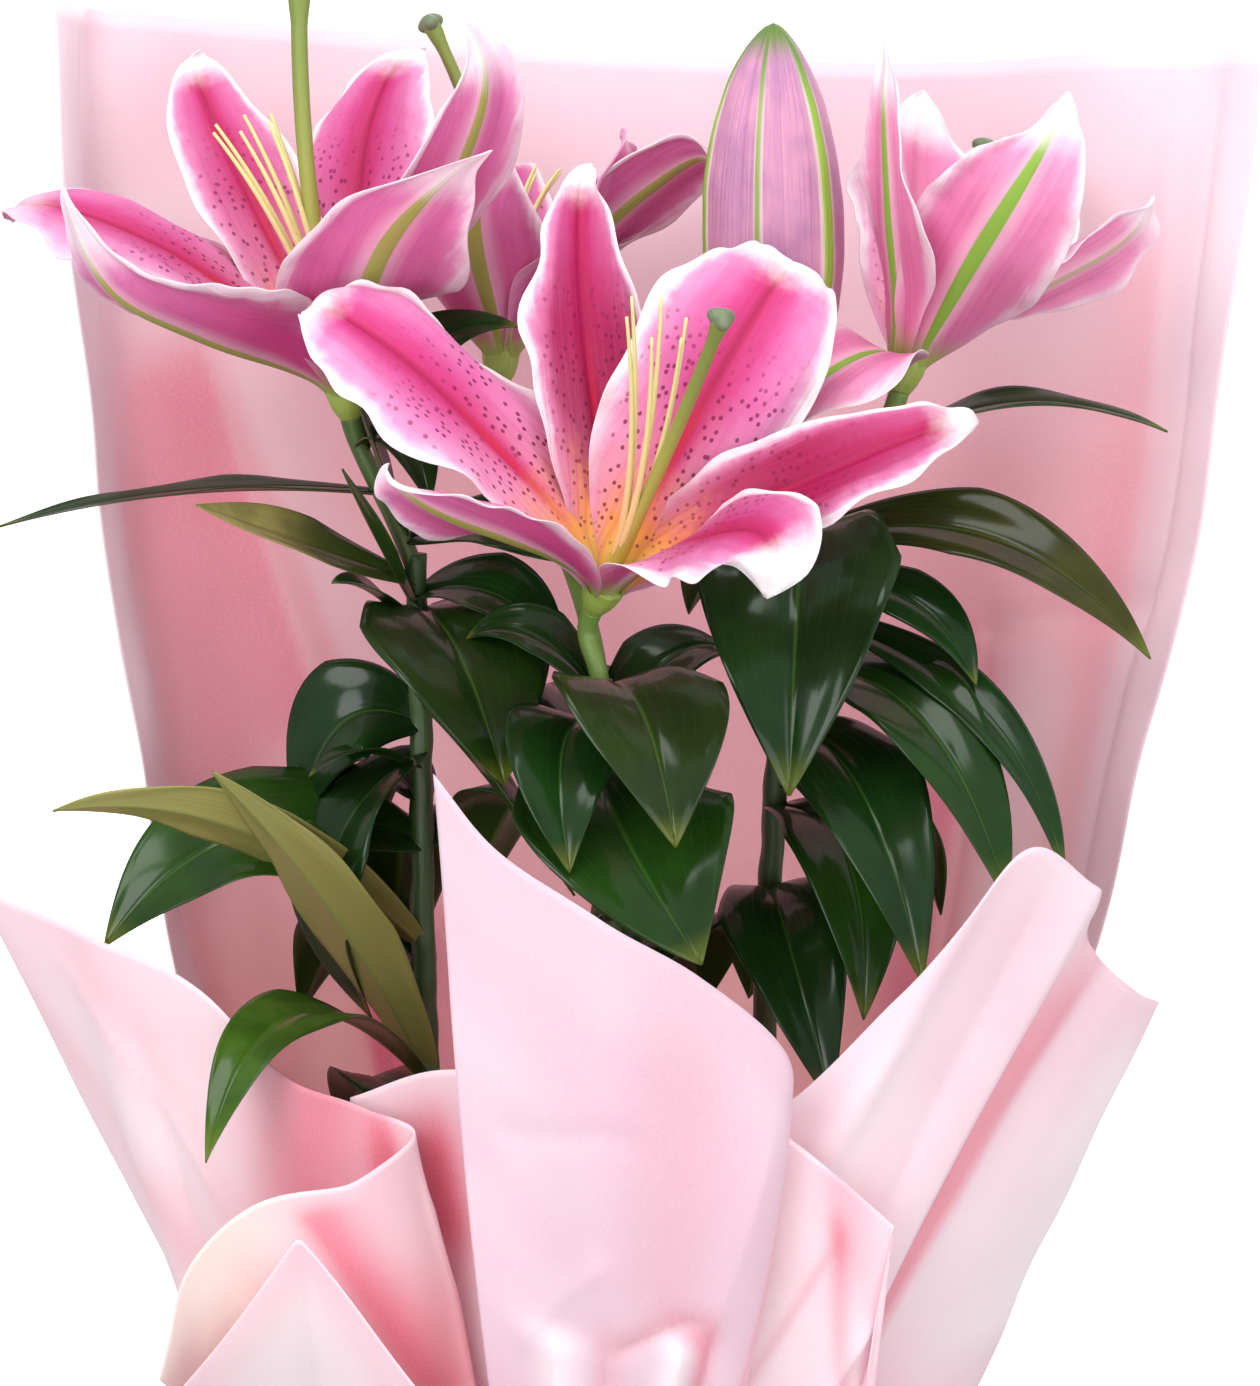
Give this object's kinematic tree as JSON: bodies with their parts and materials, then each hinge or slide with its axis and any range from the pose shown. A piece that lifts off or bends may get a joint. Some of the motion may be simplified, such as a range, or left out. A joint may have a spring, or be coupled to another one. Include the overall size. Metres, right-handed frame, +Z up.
{
  "type": "potted lily",
  "caption": "Potted pink lily with leafy stems, open spotted blooms and a bud, wrapped in folded pink paper tied round the pot.",
  "frame": {"origin": "middle of the pot's base, on the surface it stands on", "axes": "+Z up, -Y towards the front of the wrap, +X to the right as seen from the front"},
  "size_m": [0.3636, 0.2794, 0.5785],
  "materials": {
    "pot": "matte",
    "soil": "crumbly, moist",
    "bulb": "satin scales",
    "green": "glossy leaves",
    "tepal": "satin",
    "heart": "satin",
    "bud": "satin",
    "paper": "matte",
    "ribbon": "satin"
  },
  "bodies": {
    "root": {"pot": "pot", "soil": "soil", "bulb_left": "bulb", "bulb_centre": "bulb", "bulb_right": "bulb", "stem_left": "green", "stem_centre": "green", "stem_right": "green", "bloom_centre": "tepal", "bloom_left": "tepal", "bloom_back": "tepal", "bloom_right": "tepal", "heart_centre": "heart", "heart_left": "heart", "heart_back": "heart", "heart_right": "heart", "bud": "bud", "wrap_back": "paper", "wrap_left": "paper", "wrap_corner": "paper", "wrap_front": "paper", "wrap_flap": "paper", "wrap_right": "paper", "ribbon": "ribbon"}
  },
  "joints": []
}
